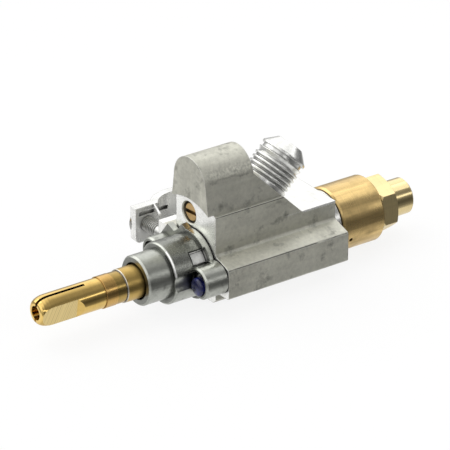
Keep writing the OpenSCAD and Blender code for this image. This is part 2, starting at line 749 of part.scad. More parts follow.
module contact_insulator() {
    color([0.85, 0.82, 0.74]) tube(contact_r + fit_gap, insulator_r, back_y - housing_wall,
        contact_head_y());
}

module magnet_nut() {
    neck = 4;
    edge = 0.5;
    bevel = 0.9;
    color(brass) difference() {
        union() {
            rod(neck, back_y, y_hex + eps);
            intersection() {
                slab(y_hex, y_spigot) rotate(hex_angle) circle(d = hex_af / cos(30), $fn = 6);
                turned([[0, y_hex], [hex_af / 2, y_hex], [hex_af / 2 + 1.4, y_hex + 2 * bevel],
                    [hex_af / 2 + 1.4, y_spigot - bevel], [hex_af / 2 - 0.2, y_spigot],
                    [0, y_spigot]]);
            }
            turned([[0, y_spigot - 1], [spigot_d / 2, y_spigot - 1],
                [spigot_d / 2, y_end - edge], [spigot_d / 2 - edge, y_end], [0, y_end]]);
        }
        rod(insulator_r + fit_gap, back_y - 1, y_end);
        rod(socket_d / 2, y_end - socket_depth, y_end + 1);
    }
}

module magnet_cap() {
    r = cap_d / 2;
    edge = 0.5;
    skirt = chamber_r - fit_gap;
    skirt_y = y_rim - 5;
    color(brass) difference() {
        turned([[cap_bore_r, skirt_y], [skirt, skirt_y], [skirt, y_cap],
            [r - edge, y_cap], [r, y_cap + edge], [r, y_hex - edge], [r - edge, y_hex],
            [4 + fit_gap, y_hex], [4 + fit_gap, back_y], [cap_bore_r, back_y]]);
        // Punch mark that locks the cap
        rotate([0, 19, 0]) translate([0, y_cap + 2.4, 0]) hole_x(0.55, r - 1, r + 1);
    }
}

module cap_seal() {
    color(rubber) tube(chamber_r, collar_rim_d / 2 - 0.2, y_rim, y_cap);
}

// Side outline of the clamp, as [y, z], with its lower corners rounded
module clamp_outline() {
    half = clamp_w / 2;
    corner = 1.4;
    translate([-clamp_reach, corner - half]) square([2 * clamp_reach, clamp_w - corner]);
    translate([corner - clamp_reach, -half]) square([2 * (clamp_reach - corner), clamp_w]);
    for (side = [-1, 1]) translate([side * (clamp_reach - corner), corner - half])
        circle(r = corner, $fn = 48);
}

module manifold_clamp() {
    half = clamp_w / 2;
    outer = pipe_r + clamp_t;
    groove = 1.1;
    deep = 0.8;
    groove_z = half - 2.4;
    bow_start = sqrt(pow(pipe_r, 2) - pow(ear_out, 2));
    color(bright) difference() {
        union() {
            intersection() {
                translate([pipe_x, pipe_y, -half]) linear_extrude(clamp_w) union() {
                    circle(r = outer, $fn = round_fn);
                    translate([-ear_out - ear_t, -clamp_reach]) square([ear_t, 2 * clamp_reach]);
                }
                translate([pipe_x - outer, pipe_y, 0]) rotate([90, 0, 90])
                    linear_extrude(outer - ear_out) clamp_outline();
            }
            // Thin web across the front corner
            translate([pipe_x, pipe_y, half - 0.7]) linear_extrude(0.7)
                polygon([[-ear_out - ear_t + 0.4, -outer + 2.9], [-ear_out - 1.2, -outer + 2.2],
                    [saddle_gap - 0.2, -outer - 0.4], [saddle_gap - 0.2, -outer + 0.3]]);
        }
        translate([pipe_x, pipe_y, -half - 1]) cylinder(r = pipe_r, h = clamp_w + 2,
            $fn = round_fn);
        // Grooves along the inner faces of the ears, running out on the bow
        for (side = [-1, 1]) {
            translate([ear_x - deep, pipe_y + side * (clamp_reach + bow_start) / 2, groove_z])
                translate([0, (bow_start - clamp_reach) / 2 + groove, -0.05])
                cube([2 * deep, clamp_reach - bow_start - 2 * groove, groove]);
        }
        intersection() {
            translate([pipe_x, pipe_y, -half]) cylinder(r = pipe_r + deep, h = clamp_w,
                $fn = round_fn);
            translate([ear_x - outer, pipe_y - bow_start - 0.3, groove_z - 1.1])
                rotate([-11.5, 0, 0]) cube([outer + deep, bow_start - 0.4, groove]);
        }
        for (side = [-1, 1]) translate([0, pipe_y + side * clamp_screw_pitch / 2, 0]) {
            hole_x(clamp_screw_d / 2 + fit_gap, ear_x - ear_t - 1, ear_x + 1);
            translate([ear_x - ear_t - eps, 0, 0]) rotate([0, 90, 0])
                cylinder(r1 = clamp_screw_d + fit_gap, r2 = clamp_screw_d / 2 + fit_gap,
                    h = clamp_screw_d / 2, $fn = 48);
        }
    }
}

module clamp_screws() {
    r = clamp_screw_d / 2;
    head = ear_x - ear_t;
    pitch = 0.7;
    color(steel) for (side = [-1, 1])
        translate([head, pipe_y + side * clamp_screw_pitch / 2, 0]) rotate([0, 90, 0])
            difference() {
                rotate_extrude($fn = 48) polygon(concat(
                    [[0, 0], [clamp_screw_d, 0], [r, r]],
                    thread_outline(r, 0.4, pitch, ear_t + 0.1, saddle_x - head),
                    [[r, saddle_x - head], [r, clamp_screw_end - head], [0, clamp_screw_end - head]]));
                for (a = [0, 90]) rotate(a) translate([-1.6, -0.4, -1]) cube([3.2, 0.8, 2]);
            }
}

module inlet_gasket() {
    color(rubber) translate([0, pipe_y, 0]) difference() {
        hole_x(inlet_d / 2 + 1.4 - fit_gap, inlet_x - 1.6, inlet_x + 1.6);
        hole_x(inlet_d / 2, inlet_x - 2, inlet_x + 2);
        translate([pipe_x, 0, -clamp_w]) cylinder(r = pipe_r, h = 2 * clamp_w, $fn = round_fn);
    }
}

module inlet_screen() {
    mesh = 0.8;
    color(steel) translate([inlet_x + 2.6, pipe_y, 0]) rotate([0, 90, 0]) difference() {
        cylinder(r = inlet_d / 2 - fit_gap, h = 0.4, $fn = 48);
        for (x = [-1, 0, 1]) for (y = [-1, 0, 1]) translate([1.3 * x - mesh / 2, 1.3 * y - mesh / 2, -1])
            cube([mesh, mesh, 2]);
    }
}

body();
bonnet();
bonnet_gasket();
bonnet_screws();
sealing_paint();
shaft();
drive_pin();
shaft_spring();
spring_washer();
stop_sleeve();
plug();
push_rod();
push_rod_seal();
bypass_screw();
bypass_seal();
valve_disc();
disc_holder();
armature();
valve_spring();
magnet_housing();
magnet_core();
magnet_coils();
contact_pin();
contact_insulator();
magnet_nut();
magnet_cap();
cap_seal();
manifold_clamp();
clamp_screws();
inlet_gasket();
inlet_screen();
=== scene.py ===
"""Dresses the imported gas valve: finishes for its metals, soft edges, wound springs,
sealing paint, and a pale studio seen at the photograph's angle. The finishes count in
millimetres, and everything else in metres."""

import math

import bpy
from bpy.props import FloatProperty, FloatVectorProperty, PointerProperty
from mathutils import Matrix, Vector


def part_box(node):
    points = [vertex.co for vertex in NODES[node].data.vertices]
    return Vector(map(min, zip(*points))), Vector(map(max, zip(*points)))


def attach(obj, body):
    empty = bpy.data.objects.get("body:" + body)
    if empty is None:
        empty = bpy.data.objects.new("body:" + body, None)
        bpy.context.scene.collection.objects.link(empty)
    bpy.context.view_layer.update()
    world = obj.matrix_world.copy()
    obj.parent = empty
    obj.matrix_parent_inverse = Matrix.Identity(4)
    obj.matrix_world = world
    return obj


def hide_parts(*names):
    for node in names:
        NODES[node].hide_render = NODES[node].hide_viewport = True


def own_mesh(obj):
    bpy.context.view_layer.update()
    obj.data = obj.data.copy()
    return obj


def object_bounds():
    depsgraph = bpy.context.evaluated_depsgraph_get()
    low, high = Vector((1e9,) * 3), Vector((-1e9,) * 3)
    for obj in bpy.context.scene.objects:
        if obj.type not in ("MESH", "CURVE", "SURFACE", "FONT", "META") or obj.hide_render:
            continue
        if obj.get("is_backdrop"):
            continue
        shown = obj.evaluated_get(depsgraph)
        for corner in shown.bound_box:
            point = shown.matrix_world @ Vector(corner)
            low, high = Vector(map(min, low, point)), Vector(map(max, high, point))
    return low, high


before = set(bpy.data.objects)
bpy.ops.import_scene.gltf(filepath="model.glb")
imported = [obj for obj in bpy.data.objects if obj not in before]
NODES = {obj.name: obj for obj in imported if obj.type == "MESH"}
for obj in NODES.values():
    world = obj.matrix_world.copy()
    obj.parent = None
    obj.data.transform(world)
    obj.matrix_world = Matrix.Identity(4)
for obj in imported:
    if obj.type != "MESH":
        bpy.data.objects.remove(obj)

bl_info = {
    "name": "Gas valve finishes",
    "version": (1, 0, 0),
    "blender": (4, 5, 0),
    "location": "3D View > Sidebar > Gas valve",
    "description": "Builds the finishes, springs, paint and studio of the gas valve",
    "category": "Object",
}

MM = 0.001

# Places and lengths on the part, in millimetres, that the finishes refer to. CREVICE is
# how far from an inner corner the painted shade reaches
SEAT_Y = 18.5
BODY_REAR_Y = 55.9
OUTLET_Y = 23.0
OUTLET_FOOT = 22.8
LEDGE_Z = 10.0
EDGE_Z = (15.8, 3.35)
SHOULDER_R = 18.06
SADDLE_X = -14.4
DRUM_R = 8.2
WINDOW_Y = 14.9
WINDOW_HALF_LENGTH = 2.2
SHAFT_TIP_Y = -29.5
SHAFT_TARNISH_Y = -9.4
SHAFT_RING_Y = -4.85
FLAT_LENGTH = 12
FLAT_OUT = 3.0
CREVICE = 1.3

# Angles about the shaft in degrees above +X, and the parts of the outlet's direction,
# which lies halfway between +Y and +Z
WINDOW_ANGLE = 38.5
WINDOW_HALF_ANGLE = 11.5
FLAT_ANGLE = -10
SLANT = math.sqrt(0.5)


# ---------------------------------------------------------------- node helpers


class Nodes:
    """Adds nodes to a tree and links them, so that a material reads as its formula."""

    def __init__(self, tree):
        self.tree = tree

    def add(self, kind, inputs=None, **settings):
        node = self.tree.nodes.new(kind)
        for name, value in settings.items():
            setattr(node, name, value)
        for key, value in (inputs or {}).items():
            self.feed(node.inputs[key], value)
        return node

    def feed(self, socket, value):
        if isinstance(value, bpy.types.NodeSocket):
            self.tree.links.new(value, socket)
        else:
            socket.default_value = value

    def math(self, operation, *values):
        node = self.add("ShaderNodeMath", operation=operation)
        for socket, value in zip(node.inputs, values):
            self.feed(socket, value)
        return node.outputs[0]

    def mix(self, factor, low, high):
        node = self.add("ShaderNodeMix", data_type="RGBA")
        self.feed(node.inputs["Factor"], factor)
        self.feed(node.inputs["A"], low)
        self.feed(node.inputs["B"], high)
        return node.outputs["Result"]

    def blend(self, factor, low, high):
        node = self.add("ShaderNodeMix", data_type="FLOAT")
        self.feed(node.inputs["Factor"], factor)
        self.feed(node.inputs["A"], low)
        self.feed(node.inputs["B"], high)
        return node.outputs["Result"]

    def ramp(self, value, start, end, low=0.0, high=1.0):
        node = self.add("ShaderNodeMapRange", {"From Min": start, "From Max": end,
                                               "To Min": low, "To Max": high})
        self.feed(node.inputs["Value"], value)
        return node.outputs["Result"]

    def vector(self, operation, *values):
        node = self.add("ShaderNodeVectorMath", operation=operation)
        for socket, value in zip(node.inputs, values):
            self.feed(socket, value)
        return node.outputs["Value" if operation == "DOT_PRODUCT" else "Vector"]

    def noise(self, place, scale, detail=3.0, roughness=0.6, stretch=(1, 1, 1)):
        if stretch != (1, 1, 1):
            place = self.vector("MULTIPLY", place, stretch)
        node = self.add("ShaderNodeTexNoise", {"Vector": place, "Scale": scale,
                                               "Detail": detail, "Roughness": roughness})
        return node.outputs["Fac"]

    def group(self, tree, **values):
        node = self.add("ShaderNodeGroup", node_tree=tree)
        for key, value in values.items():
            self.feed(node.inputs[key], value)
        return node.outputs


def rgb(r, g, b):
    """A colour as written on a screen, 0 to 255, as Blender's linear colour."""
    linear = [v / 255 / 12.92 if v <= 10 else ((v / 255 + 0.055) / 1.055) ** 2.4
              for v in (r, g, b)]
    return (*linear, 1.0)


def opaque(color):
    """A colour of three parts with a full fourth one."""
    return (*color, 1.0)


def lighter(color, factor):
    """A colour with its first three parts multiplied."""
    return opaque(part * factor for part in color[:3])


def new_group(name, inputs, outputs):
    """A new shader node group with these sockets: its tree, the helper that adds nodes to
    it, and the sockets to read from and to write to."""
    tree = bpy.data.node_groups.new(name, "ShaderNodeTree")
    for socket, kind, value in inputs:
        item = tree.interface.new_socket(socket, in_out="INPUT", socket_type=kind)
        if value is not None:
            item.default_value = value
    for socket, kind in outputs:
        tree.interface.new_socket(socket, in_out="OUTPUT", socket_type=kind)
    n = Nodes(tree)
    return tree, n, n.add("NodeGroupInput").outputs, n.add("NodeGroupOutput").inputs


def shared(name, build):
    """The node group of that name, built once."""
    return bpy.data.node_groups.get(name) or build(name)


def cast_grain(name):
    """Fine pitted grain of a die casting, with soft mottling and darker handling stains."""
    tree, n, given, out = new_group(
        name,
        [("Place", "NodeSocketVector", None), ("Grain", "NodeSocketFloat", 900.0),
         ("Mottle", "NodeSocketFloat", 260.0), ("Stain", "NodeSocketFloat", 0.35)],
        [("Shade", "NodeSocketFloat"), ("Height", "NodeSocketFloat")])
    place = given["Place"]
    fine = n.noise(place, given["Grain"], 4.0, 0.7)
    broad = n.noise(place, given["Mottle"], 5.0, 0.62)
    patch = n.noise(place, 75.0, 3.0, 0.5)
    spots = n.ramp(broad, 0.56, 0.72)
    shade = n.math("ADD", n.math("MULTIPLY", n.math("SUBTRACT", fine, 0.5), 0.5),
                   n.math("MULTIPLY", n.math("SUBTRACT", patch, 0.5), 0.6))
    shade = n.math("SUBTRACT", shade, n.math("MULTIPLY", spots, given["Stain"]))
    n.feed(out["Shade"], n.math("ADD", 1.0, shade))
    n.feed(out["Height"], n.math("ADD", fine, n.math("MULTIPLY", broad, 0.4)))
    return tree


def tool_marks(name):
    """Turned or milled lines: rings of one pitch along a distance, broken up a little."""
    tree, n, given, out = new_group(
        name,
        [("Place", "NodeSocketVector", None), ("Distance", "NodeSocketFloat", 0.0),
         ("Pitch", "NodeSocketFloat", 0.25)],
        [("Line", "NodeSocketFloat"), ("Height", "NodeSocketFloat")])
    along = n.math("DIVIDE", given["Distance"], given["Pitch"])
    wander = n.math("MULTIPLY", n.noise(given["Place"], 60.0, 2.0), 0.8)
    phase = n.math("MULTIPLY", n.math("ADD", along, wander), 2 * math.pi)
    wave = n.math("ADD", n.math("MULTIPLY", n.math("SINE", phase), 0.5), 0.5)
    broken = n.add("ShaderNodeTexNoise", {"W": n.math("MULTIPLY", given["Distance"], 2.6),
                                          "Scale": 1.0, "Detail": 3.0},
                   noise_dimensions="1D").outputs["Fac"]
    n.feed(out["Line"], n.math("MULTIPLY", wave, n.ramp(broken, 0.35, 0.7)))
    n.feed(out["Height"], n.math("ADD", n.math("MULTIPLY", wave, 0.5), broken))
    return tree


def start_material(name):
    """A new material: itself, the helper that adds nodes to it, and the object's place."""
    material = bpy.data.materials.new(name)
    material.use_nodes = True
    material.node_tree.nodes.clear()
    n = Nodes(material.node_tree)
    place = n.add("ShaderNodeTexCoord").outputs["Object"]
    return material, n, place


def finish_material(material, n, color, roughness, height, bump, edge, metallic=1.0,
                    coat=0.0, edge_glint=0.0, corner_shade=0.0):
    """Closes a material: bump over a softened edge, into one Principled shader. Its last two
    arguments paint white highlights on the outer edges and paint shade into the inner
    corners and narrow gaps."""
    soft = n.add("ShaderNodeBevel", {"Radius": edge * MM}, samples=6).outputs["Normal"]
    # Painted highlight and shade: the softened outer edges are painted near white, and ambient
    # occlusion paints shade into the corners and gaps
    if edge_glint or corner_shade:
        room = n.add("ShaderNodeAmbientOcclusion", {"Distance": CREVICE * MM},
                     samples=8).outputs["AO"]
        true = n.add("ShaderNodeNewGeometry").outputs["Normal"]
        turn = n.ramp(n.vector("DOT_PRODUCT", soft, true), 0.995, 0.93)
        glint_mask = both(n, turn, n.ramp(room, 0.6, 0.9, 0.0, edge_glint))
        color = n.mix(glint_mask, tinted(n, color, n.ramp(room, 0.3, 0.9, 1.0 - corner_shade, 1.0)),
                      (1.0, 1.0, 0.98, 1.0))
        roughness = n.blend(glint_mask, roughness, 0.15)
    normal = n.add("ShaderNodeBump", {"Strength": 1.0, "Distance": bump * MM,
                                      "Height": height, "Normal": soft}).outputs["Normal"]
    shader = n.add("ShaderNodeBsdfPrincipled", {
        "Base Color": color, "Roughness": roughness, "Metallic": metallic,
        "Normal": normal, "Coat Weight": coat})
    n.feed(n.add("ShaderNodeOutputMaterial").inputs["Surface"], shader.outputs["BSDF"])
    return material


def millimetres(n, place):
    """The place in millimetres, as a vector and its three parts."""
    spot = n.vector("SCALE", place)
    spot.node.inputs["Scale"].default_value = 1000.0
    parts = n.add("ShaderNodeSeparateXYZ", {"Vector": spot}).outputs
    return spot, parts["X"], parts["Y"], parts["Z"]


def from_shaft(n, x, z):
    """The distance from the shaft's axis."""
    return n.math("SQRT", n.math("ADD", n.math("MULTIPLY", x, x), n.math("MULTIPLY", z, z)))


def near(n, value, target, tolerance):
    """1 where a value is within the tolerance of the target."""
    return n.math("COMPARE", value, target, tolerance)


def facing(n, direction):
    """1 where the surface faces a direction, whatever its softened edges do."""
    normal = n.add("ShaderNodeTexCoord").outputs["Normal"]
    return n.math("GREATER_THAN", n.vector("DOT_PRODUCT", normal, direction), 0.97)


def both(n, *masks):
    """1 where all of the masks are 1."""
    joined = masks[0]
    for mask in masks[1:]:
        joined = n.math("MULTIPLY", joined, mask)
    return joined


def either(n, *masks):
    """1 where any of the masks is 1."""
    joined = masks[0]
    for mask in masks[1:]:
        joined = n.math("MAXIMUM", joined, mask)
    return joined


def tinted(n, color, shade):
    """A colour made lighter or darker by a factor."""
    gray = n.add("ShaderNodeCombineXYZ", {"X": shade, "Y": shade, "Z": shade}).outputs[0]
    if isinstance(color, tuple):
        color = color[:3]
    return n.vector("MULTIPLY", color, gray)


def bands(n, value, stops, low, high):
    """A smooth gray profile along a value: stops are (value, gray) pairs between low and
    high, the first two in rising order."""
    node = n.add("ShaderNodeValToRGB", {"Fac": n.ramp(value, low, high)})
    node.color_ramp.interpolation = "LINEAR"
    points = node.color_ramp.elements
    for index, (spot, gray) in enumerate(stops):
        at = (spot - low) / (high - low)
        point = points[index] if index < 2 else points.new(at)
        point.position = at
        point.color = (gray, gray, gray, 1.0)
    return n.add("ShaderNodeSeparateColor", {"Color": node.outputs["Color"]}).outputs["Red"]


def casting_material(name, color, bright, roughness, stain):
    """Raw cast alloy, with its machined faces brighter and lined by the tool."""
    material, n, place = start_material(name)
    _, x, y, z = millimetres(n, place)
    radius = from_shaft(n, x, z)
    grain = n.group(shared("Cast grain", cast_grain), Place=place, Stain=stain)
    streak = n.noise(place, 420.0, 3.0, 0.55, (1.0, 0.12, 1.0))
    color = n.mix(n.ramp(streak, 0.4, 0.75, 0.0, 0.35), color, lighter(color, 1.35))
    # Broken dark lines run just below the two long edges of the +X side
    under_edge_lines = both(n, n.ramp(n.noise(place, 260.0, 4.0, 0.6, (1.0, 0.3, 1.0)), 0.42, 0.5),
                n.math("GREATER_THAN", x, 5.0),
                either(n, near(n, z, EDGE_Z[0] - 0.25, 0.12), near(n, z, EDGE_Z[1] - 0.25, 0.1)))
    # A frosted patch over a wavering dark line marks the arch's shoulder on that side
    shoulder_side = both(n, n.math("GREATER_THAN", x, 4.0), n.ramp(y, 16.5, 18.5))
    wave = n.math("ADD", z, n.math("MULTIPLY", n.noise(place, 260.0, 4.0), 4.0))
    frost = both(n, shoulder_side, n.ramp(wave, 25.5, 28.0), n.ramp(z, 28.0, 26.0))
    frosted = n.blend(frost, 1.0, n.ramp(n.noise(place, 1500.0, 3.0), 0.38, 0.62, 0.76, 1.12))
    line = both(n, shoulder_side, n.ramp(n.math("ABSOLUTE", n.math("SUBTRACT", wave, 26.7)),
                                         0.5, 0.0, 0.0, 0.28))
    # Painted shade: the faces towards -Y, the arch's front among them, are darker, with vertical
    # streaks drawn by the die
    shaded_front = n.math("MULTIPLY", facing(n, (0, -1, 0)),
                   n.ramp(n.noise(place, 500.0, 3.0, 0.6, (1.0, 1.0, 0.1)), 0.3, 0.7, 0.1, 0.24))
    dark = either(n, n.math("MULTIPLY", under_edge_lines, 0.7), line, shaded_front)
    raw = tinted(n, color, n.math("MULTIPLY", n.math("MULTIPLY", grain["Shade"], frosted),
                                  n.math("SUBTRACT", 1.0, dark)))

    # The machined places; up is the distance along the outlet's axis
    up = n.math("MULTIPLY", n.math("ADD", n.math("SUBTRACT", y, OUTLET_Y), z), SLANT)
    face = both(n, near(n, y, SEAT_Y, 0.06), facing(n, (0, -1, 0)))
    slant = both(n, near(n, up, OUTLET_FOOT, 0.08), facing(n, (0, SLANT, SLANT)))
    boss = both(n, n.math("GREATER_THAN", up, OUTLET_FOOT + 0.08),
                n.math("GREATER_THAN", y, SEAT_Y + 14), n.math("GREATER_THAN", z, LEDGE_Z - 0.5))
    ledge = both(n, near(n, z, LEDGE_Z, 0.05), n.math("GREATER_THAN", y, 40.0))
    rear = n.math("GREATER_THAN", y, BODY_REAR_Y - 0.05)
    shoulder = both(n, n.math("LESS_THAN", radius, SHOULDER_R),
                    n.math("LESS_THAN", y, SEAT_Y - 0.02))
    saddle = n.math("LESS_THAN", x, SADDLE_X)
    machined = either(n, face, slant, boss, ledge, rear, shoulder, saddle)
    turned = n.group(shared("Tool marks", tool_marks), Place=place,
                     Distance=n.blend(boss, radius, up), Pitch=0.22)
    smear = n.ramp(n.noise(place, 240.0, 4.0, 0.6), 0.42, 0.66, 0.0, 0.1)
    clean = tinted(n, bright, n.math("SUBTRACT", 1.0, n.math("ADD", smear,
                                     n.math("MULTIPLY", turned["Line"], 0.10))))
    dark_root = n.ramp(n.noise(place, 700.0, 3.0), 0.4, 0.7, 0.0, 0.08)
    clean = tinted(n, clean, n.math("SUBTRACT", 1.0, dark_root))
    color = n.mix(machined, raw, clean)
    rough = n.blend(machined, n.math("ADD", roughness,
                    n.math("MULTIPLY", n.math("SUBTRACT", grain["Shade"], 1.0), -0.25)), 0.24)
    height = n.blend(machined, grain["Height"], n.math("MULTIPLY", turned["Height"], 0.1))
    return finish_material(material, n, color, rough, height, bump=0.03, edge=0.3,
                           metallic=0.9, edge_glint=0.35, corner_shade=0.65)


def bonnet_material(name, color, roughness):
    """Darker zinc casting with a tumbled, slightly glossy skin."""
    material, n, place = start_material(name)
    grain = n.group(shared("Cast grain", cast_grain), Place=place, Stain=0.45,
                    Mottle=330.0, Grain=1200.0)
    shade = grain["Shade"]
    raw = tinted(n, color, shade)
    _, x, y, z = millimetres(n, place)
    radius = from_shaft(n, x, z)
    # The window's milled edges, and the bore behind it, painted near black as shade
    window = both(n, n.math("LESS_THAN", radius, 8.05), n.math("GREATER_THAN", radius, 6.7),
                  n.math("GREATER_THAN", z, 2.0), n.math("GREATER_THAN", x, 3.0))
    raw = n.mix(window, raw, (0.86, 0.86, 0.84, 1.0))
    # Painted shade: the bore seen through the window is made near black
    inner = both(n, window, n.math("LESS_THAN", radius, 7.3))
    raw = n.mix(inner, raw, (0.1, 0.1, 0.09, 1.0))
    # The faces towards the knob kept their dull cast skin
    dull = n.math("MULTIPLY", facing(n, (0, -1, 0)), 0.55)
    # Painted shade: the drum's wall is darker towards its top, and a painted shadow runs round its
    # window as a dark rim
    drum = near(n, radius, DRUM_R, 0.12)
    drum_top_shade = n.math("MULTIPLY", drum, n.ramp(z, -4.0, -1.0, 0.0, 0.45))
    angle = n.math("DEGREES", n.math("ARCTAN2", z, x))
    window_rim_shadow = both(n, drum, near(n, y, WINDOW_Y, WINDOW_HALF_LENGTH + 0.35),
               near(n, angle, WINDOW_ANGLE, WINDOW_HALF_ANGLE + 2.5))
    # dull also carries the painted shade on the drum and the painted shadow round the window
    dull = n.math("MAXIMUM", n.math("MAXIMUM", dull, drum_top_shade), n.math("MULTIPLY", window_rim_shadow, 0.88))
    raw = tinted(n, raw, n.math("SUBTRACT", 1.0, dull))
    rough = n.math("ADD", roughness, n.math("MULTIPLY", n.math("SUBTRACT", shade, 1.0), -0.3))
    return finish_material(material, n, raw, rough, grain["Height"], bump=0.045, edge=0.14,
                           edge_glint=0.06, corner_shade=0.75)


def brass_material(name, color, roughness, pitch, stain=0.2, edge=0.12, flat=None,
                   tones=None, gloss=None, drawn=0.06, corner_shade=0.6):
    """Turned brass: fine rings along its axis, light tarnish and a few scratches.
    flat, if given, is the outward direction, distance and end of a milled flat. tones, if
    given, are the shades along the shaft, which also has a tarnished band and a silvery
    ring. gloss, if given, is the added roughness along the axis. drawn is how strongly
    streaks along the axis show."""
    material, n, place = start_material(name)
    spot, _, y, z = millimetres(n, place)
    lines = n.group(shared("Tool marks", tool_marks), Place=place, Distance=y, Pitch=pitch)
    tarnish = n.ramp(n.noise(place, 170.0, 5.0, 0.6), 0.45, 0.75, 0.0, stain)
    streak = n.noise(place, 700.0, 4.0, 0.65, (1.0, 0.06, 1.0))
    shade = n.math("SUBTRACT", n.ramp(streak, 0.35, 0.7, 1.05, 1.05 - 2 * drawn),
                   n.math("ADD", tarnish, n.math("MULTIPLY", lines["Line"], 0.12)))
    height = n.math("ADD", lines["Height"], n.math("MULTIPLY", streak, 0.2))
    rough = n.math("ADD", roughness, n.math("MULTIPLY", tarnish, 0.6))
    if tones:
        shade = n.math("MULTIPLY", shade,
                       bands(n, y, tones, tones[0][0] - 1, tones[-1][0] + 1))
        warm = n.math("MULTIPLY", near(n, y, SHAFT_TARNISH_Y, 1.75), 0.4)
        color = n.mix(warm, color, (0.86, 0.46, 0.16, 1.0))
        color = n.mix(near(n, y, SHAFT_RING_Y, 0.15), color, (0.8, 0.75, 0.65, 1.0))
    if gloss:
        rough = n.math("ADD", rough, bands(n, y, gloss, gloss[0][0] - 1, gloss[-1][0] + 1))
    if flat:
        direction, depth, end = flat
        level = n.vector("DOT_PRODUCT", spot, direction)
        on_flat = n.math("MULTIPLY", near(n, level, depth, 0.03),
                         n.math("LESS_THAN", y, end))
        # The saw's marks lean 20 degrees across the flat
        slope = n.math("ADD", n.math("MULTIPLY", y, 0.94), n.math("MULTIPLY", z, -0.34))
        cuts = n.group(shared("Tool marks", tool_marks), Place=place, Distance=slope,
                       Pitch=0.55)
        shade = n.blend(on_flat, shade, n.math("SUBTRACT", 1.02,
                                               n.math("MULTIPLY", cuts["Line"], 0.42)))
        height = n.blend(on_flat, height, n.math("MULTIPLY", cuts["Height"], 6.0))
        # Painted reflection: the flat is coloured lighter and yellower, as if it mirrored brighter
        # light
        color = n.mix(on_flat, color, (1.0, 0.78, 0.36, 1.0))
        rough = n.blend(on_flat, rough, 0.3)
    return finish_material(material, n, tinted(n, color, shade), rough, height,
                           bump=0.0025, edge=edge, corner_shade=corner_shade)


def plain_metal(name, color, roughness, scale=500.0):
    """Plated steel with faint scuffs."""
    material, n, place = start_material(name)
    scuff = n.noise(place, scale, 5.0, 0.65)
    shade = n.ramp(scuff, 0.3, 0.75, 1.06, 0.82)
    rough = n.ramp(scuff, 0.3, 0.75, roughness - 0.05, roughness + 0.15)
    return finish_material(material, n, tinted(n, color, shade), rough, scuff,
                           bump=0.006, edge=0.1, corner_shade=0.8)


def clamp_material(name, color):
    """Bright zinc plate with brushed streaks and greyer patches."""
    material, n, place = start_material(name)
    streak = n.noise(place, 520.0, 4.0, 0.6, (1.0, 1.0, 0.1))
    patch = n.noise(place, 190.0, 4.0, 0.6)
    shade = n.math("MULTIPLY", n.ramp(streak, 0.3, 0.75, 1.05, 0.86),
                   n.ramp(patch, 0.45, 0.7, 1.0, 0.84))
    return finish_material(material, n, tinted(n, color, shade),
                           n.ramp(patch, 0.3, 0.7, 0.2, 0.34), streak, bump=0.012,
                           edge=0.3, metallic=0.6, edge_glint=0.5, corner_shade=0.85)


def soft_material(name, color, roughness, scale=900.0):
    """Rubber, fibre or plastic: a dull skin with a very fine grain."""
    material, n, place = start_material(name)
    grain = n.noise(place, scale, 3.0)
    return finish_material(material, n, tinted(n, color, n.ramp(grain, 0.3, 0.7, 0.85, 1.15)),
                           n.ramp(grain, 0.3, 0.7, roughness - 0.06, roughness + 0.06),
                           grain, bump=0.01, edge=0.1, metallic=0.0)


def paint_material(name, color):
    """Blue sealing lacquer, glossy where it is thick."""
    material, n, place = start_material(name)
    flow = n.noise(place, 420.0, 4.0, 0.6)
    color = n.mix(n.ramp(flow, 0.48, 0.66), color, lighter(color, 3.5))
    return finish_material(material, n, color, n.ramp(flow, 0.3, 0.7, 0.18, 0.42), flow,
                           bump=0.16, edge=0.15, metallic=0.0, coat=0.4)


# ---------------------------------------------------------------- piece helpers


def paint_nodes(material, *names):
    """Gives CAD nodes a finish. Their meshes stay as they are."""
    for name in names:
        for slot in NODES[name].material_slots:
            slot.link = "OBJECT"
            slot.material = material


def new_piece(name, mesh, body, material, replaced):
    """A finished mesh as a piece that rides on a body and stands for a CAD node."""
    piece = bpy.data.objects.new(name, mesh)
    bpy.context.scene.collection.objects.link(piece)
    mesh.materials.clear()
    mesh.materials.append(material)
    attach(piece, body)
    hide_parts(replaced)
    return piece


# ---------------------------------------------------------------- springs


